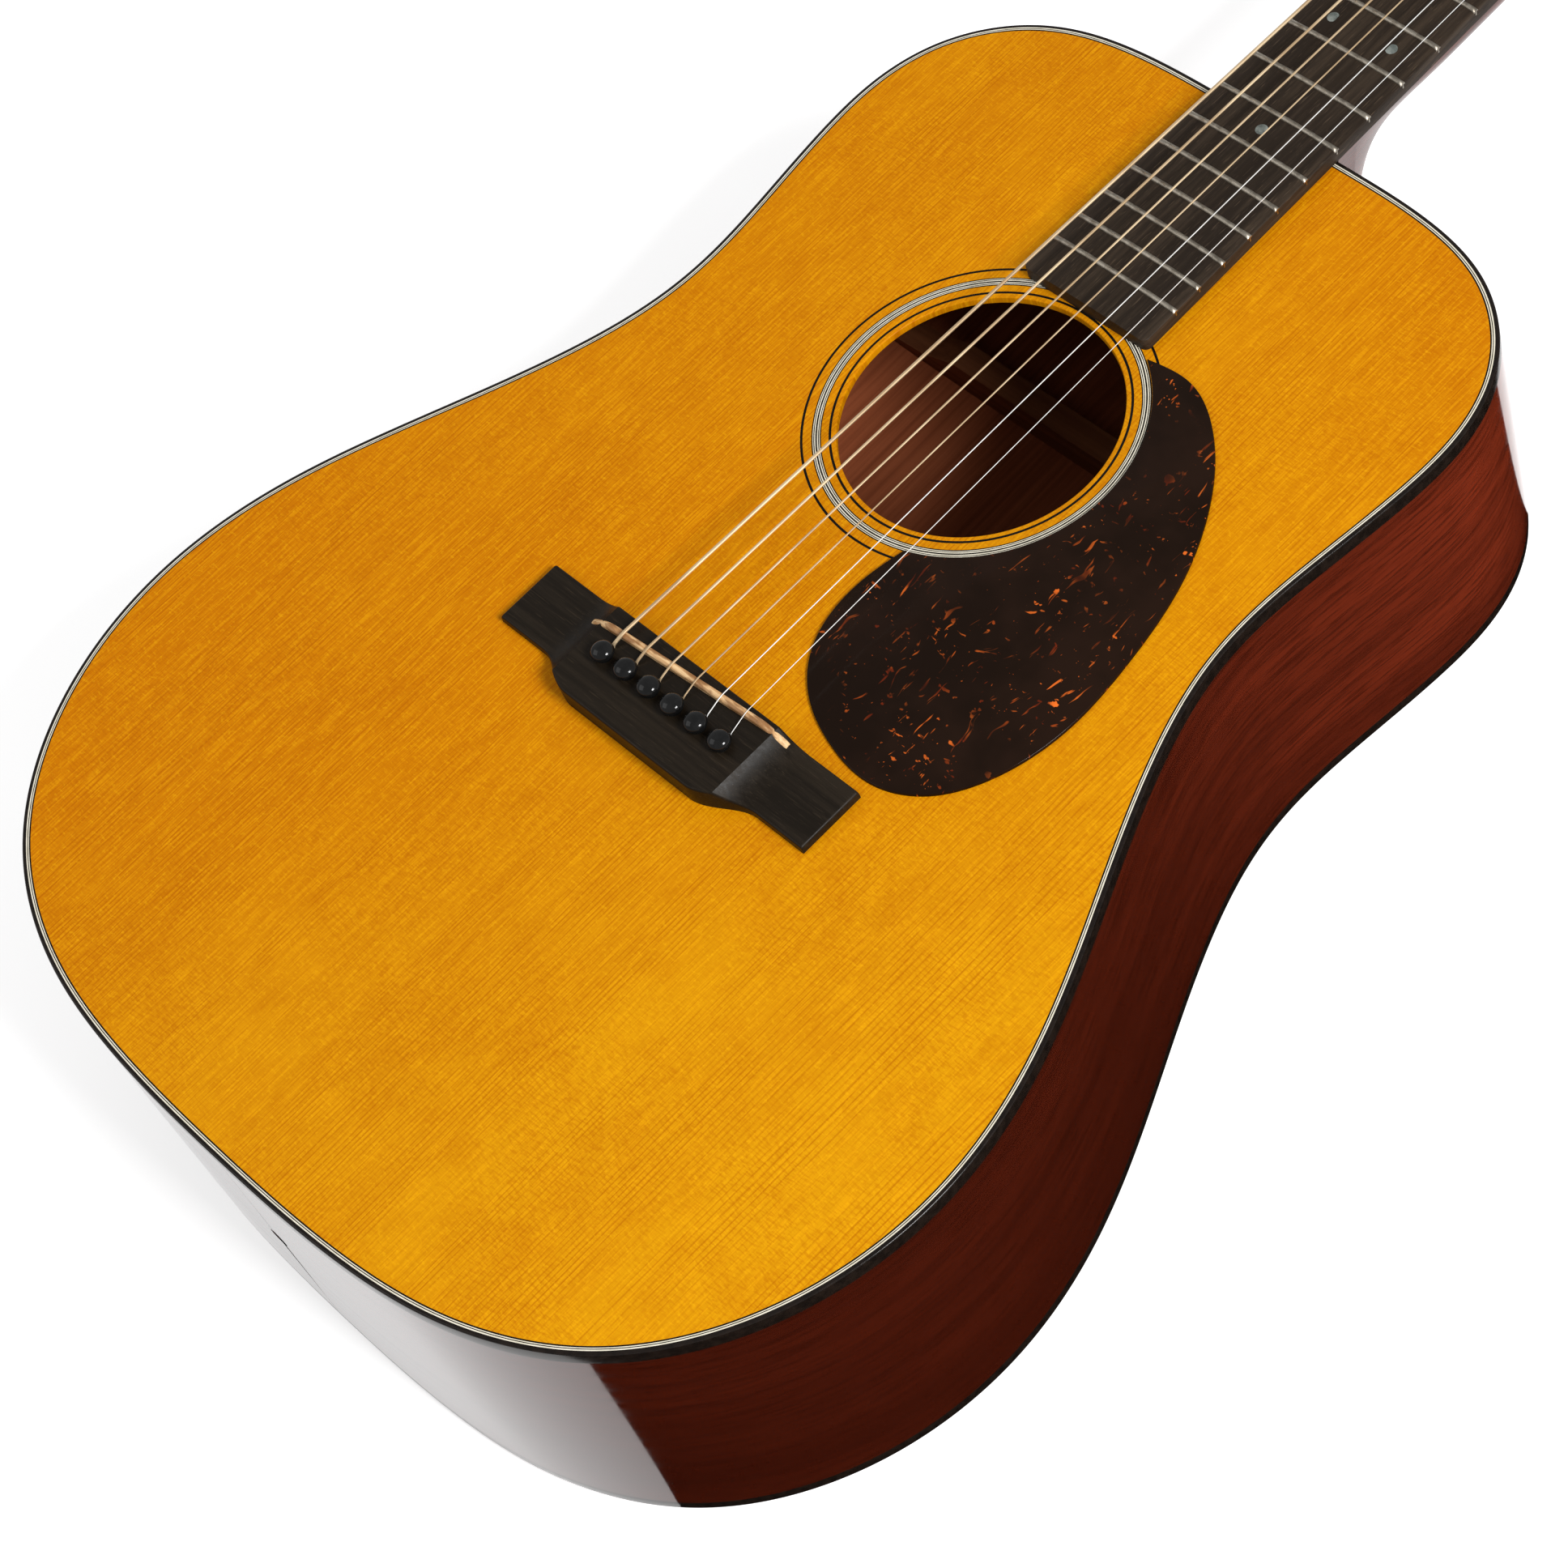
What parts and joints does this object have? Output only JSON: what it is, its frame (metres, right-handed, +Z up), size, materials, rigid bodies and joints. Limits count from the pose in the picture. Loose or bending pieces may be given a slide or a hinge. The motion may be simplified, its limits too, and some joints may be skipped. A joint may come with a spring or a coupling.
{
  "type": "acoustic guitar",
  "caption": "Steel-string acoustic guitar with a square-shouldered spruce and mahogany body, belly bridge, dark pickguard and open-gear tuning machines that turn.",
  "frame": {"origin": "centre of the bounding box in plan, on the surface that the guitar lies on", "axes": "+Y along the guitar from the tail to the head, +Z up out of the soundboard side, +X to the treble side; the guitar lies on the flat middle of its back, so the soundboard slopes 2.2 degrees down towards the head"},
  "size_m": [0.3944, 1.0634, 0.1367],
  "materials": {
    "spruce_top": "amber lacquered straight-grained spruce, gloss",
    "mahogany_gloss": "dark red-brown mahogany under gloss lacquer",
    "mahogany_satin": "dark mahogany, satin",
    "mahogany_bare": "bare mahogany",
    "spruce_brace": "bare spruce",
    "maple_plate": "bare maple",
    "lining_wood": "bare kerfed lining",
    "ebony": "oiled ebony, satin",
    "black_binding": "black binding, gloss",
    "ivory_line": "ivory coloured inlay line",
    "tortoiseshell": "dark tortoiseshell pattern, gloss",
    "bone": "aged bone, polished",
    "black_plastic": "black plastic, polished",
    "pearl": "shell inlay",
    "nickel": "polished nickel, slightly worn",
    "fret_metal": "nickel silver fret wire",
    "steel_bar": "plain steel",
    "bronze_wound": "bronze-wound string",
    "plain_steel": "plain steel string"
  },
  "bodies": {
    "root": {"soundboard": "spruce_top", "back_plate": "mahogany_gloss", "rib_treble": "mahogany_gloss", "rib_bass": "mahogany_gloss", "neck_block": "mahogany_bare", "end_block": "mahogany_bare", "top_binding": "black_binding", "back_binding": "black_binding", "x_brace_treble": "spruce_brace", "x_brace_bass": "spruce_brace", "transverse_brace": "spruce_brace", "bridge_plate": "maple_plate", "bridge": "ebony", "saddle": "bone", "pickguard": "tortoiseshell", "neck": "mahogany_satin", "truss_rod": "steel_bar", "fretboard": "ebony", "nut": "bone", "top_lining_treble": "lining_wood", "top_lining_bass": "lining_wood", "back_lining_treble": "lining_wood", "back_lining_bass": "lining_wood", "tone_bar_1": "spruce_brace", "tone_bar_2": "spruce_brace", "back_brace_1": "spruce_brace", "back_brace_2": "spruce_brace", "back_brace_3": "spruce_brace", "back_brace_4": "spruce_brace", "bridge_pin_1": "black_plastic", "string_1": "bronze_wound", "bridge_pin_2": "black_plastic", "string_2": "bronze_wound", "bridge_pin_3": "black_plastic", "string_3": "bronze_wound", "bridge_pin_4": "black_plastic", "string_4": "bronze_wound", "bridge_pin_5": "black_plastic", "string_5": "plain_steel", "bridge_pin_6": "black_plastic", "string_6": "plain_steel", "machine_base_bass_1": "nickel", "machine_base_bass_2": "nickel", "machine_base_bass_3": "nickel", "machine_base_treble_1": "nickel", "machine_base_treble_2": "nickel", "machine_base_treble_3": "nickel"},
    "button_bass_1": {"machine_button_bass_1": "nickel"},
    "post_bass_1": {"machine_post_bass_1": "nickel"},
    "button_bass_2": {"machine_button_bass_2": "nickel"},
    "post_bass_2": {"machine_post_bass_2": "nickel"},
    "button_bass_3": {"machine_button_bass_3": "nickel"},
    "post_bass_3": {"machine_post_bass_3": "nickel"},
    "button_treble_1": {"machine_button_treble_1": "nickel"},
    "post_treble_1": {"machine_post_treble_1": "nickel"},
    "button_treble_2": {"machine_button_treble_2": "nickel"},
    "post_treble_2": {"machine_post_treble_2": "nickel"},
    "button_treble_3": {"machine_button_treble_3": "nickel"},
    "post_treble_3": {"machine_post_treble_3": "nickel"}
  },
  "joints": [
    {"name": "button_spin_bass_1", "type": "hinge", "parent": "root", "child": "button_bass_1", "pos_m": [-0.03338, 0.39281, 0.06061], "axis": [1, 0, 0], "continuous": true},
    {"name": "post_spin_bass_1", "type": "hinge", "parent": "root", "child": "post_bass_1", "pos_m": [-0.02218, 0.39079, 0.08076], "axis": [0, 0.2963, 0.9551], "continuous": true},
    {"name": "button_spin_bass_2", "type": "hinge", "parent": "root", "child": "button_bass_2", "pos_m": [-0.0349, 0.42911, 0.04935], "axis": [1, 0, 0], "continuous": true},
    {"name": "post_spin_bass_2", "type": "hinge", "parent": "root", "child": "post_bass_2", "pos_m": [-0.0237, 0.42709, 0.0695], "axis": [0, 0.2963, 0.9551], "continuous": true},
    {"name": "button_spin_bass_3", "type": "hinge", "parent": "root", "child": "button_bass_3", "pos_m": [-0.03642, 0.4654, 0.03809], "axis": [1, 0, 0], "continuous": true},
    {"name": "post_spin_bass_3", "type": "hinge", "parent": "root", "child": "post_bass_3", "pos_m": [-0.02522, 0.46338, 0.05824], "axis": [0, 0.2963, 0.9551], "continuous": true},
    {"name": "button_spin_treble_1", "type": "hinge", "parent": "root", "child": "button_treble_1", "pos_m": [0.03338, 0.39281, 0.06061], "axis": [1, 0, 0], "continuous": true},
    {"name": "post_spin_treble_1", "type": "hinge", "parent": "root", "child": "post_treble_1", "pos_m": [0.02218, 0.39079, 0.08076], "axis": [0, 0.2963, 0.9551], "continuous": true},
    {"name": "button_spin_treble_2", "type": "hinge", "parent": "root", "child": "button_treble_2", "pos_m": [0.0349, 0.42911, 0.04935], "axis": [1, 0, 0], "continuous": true},
    {"name": "post_spin_treble_2", "type": "hinge", "parent": "root", "child": "post_treble_2", "pos_m": [0.0237, 0.42709, 0.0695], "axis": [0, 0.2963, 0.9551], "continuous": true},
    {"name": "button_spin_treble_3", "type": "hinge", "parent": "root", "child": "button_treble_3", "pos_m": [0.03642, 0.4654, 0.03809], "axis": [1, 0, 0], "continuous": true},
    {"name": "post_spin_treble_3", "type": "hinge", "parent": "root", "child": "post_treble_3", "pos_m": [0.02522, 0.46338, 0.05824], "axis": [0, 0.2963, 0.9551], "continuous": true}
  ],
  "couplings": [
    {"joint": "post_spin_bass_1", "follows": "button_spin_bass_1", "ratio": 0.071429},
    {"joint": "post_spin_bass_2", "follows": "button_spin_bass_2", "ratio": 0.071429},
    {"joint": "post_spin_bass_3", "follows": "button_spin_bass_3", "ratio": 0.071429},
    {"joint": "post_spin_treble_1", "follows": "button_spin_treble_1", "ratio": 0.071429},
    {"joint": "post_spin_treble_2", "follows": "button_spin_treble_2", "ratio": 0.071429},
    {"joint": "post_spin_treble_3", "follows": "button_spin_treble_3", "ratio": 0.071429}
  ]
}
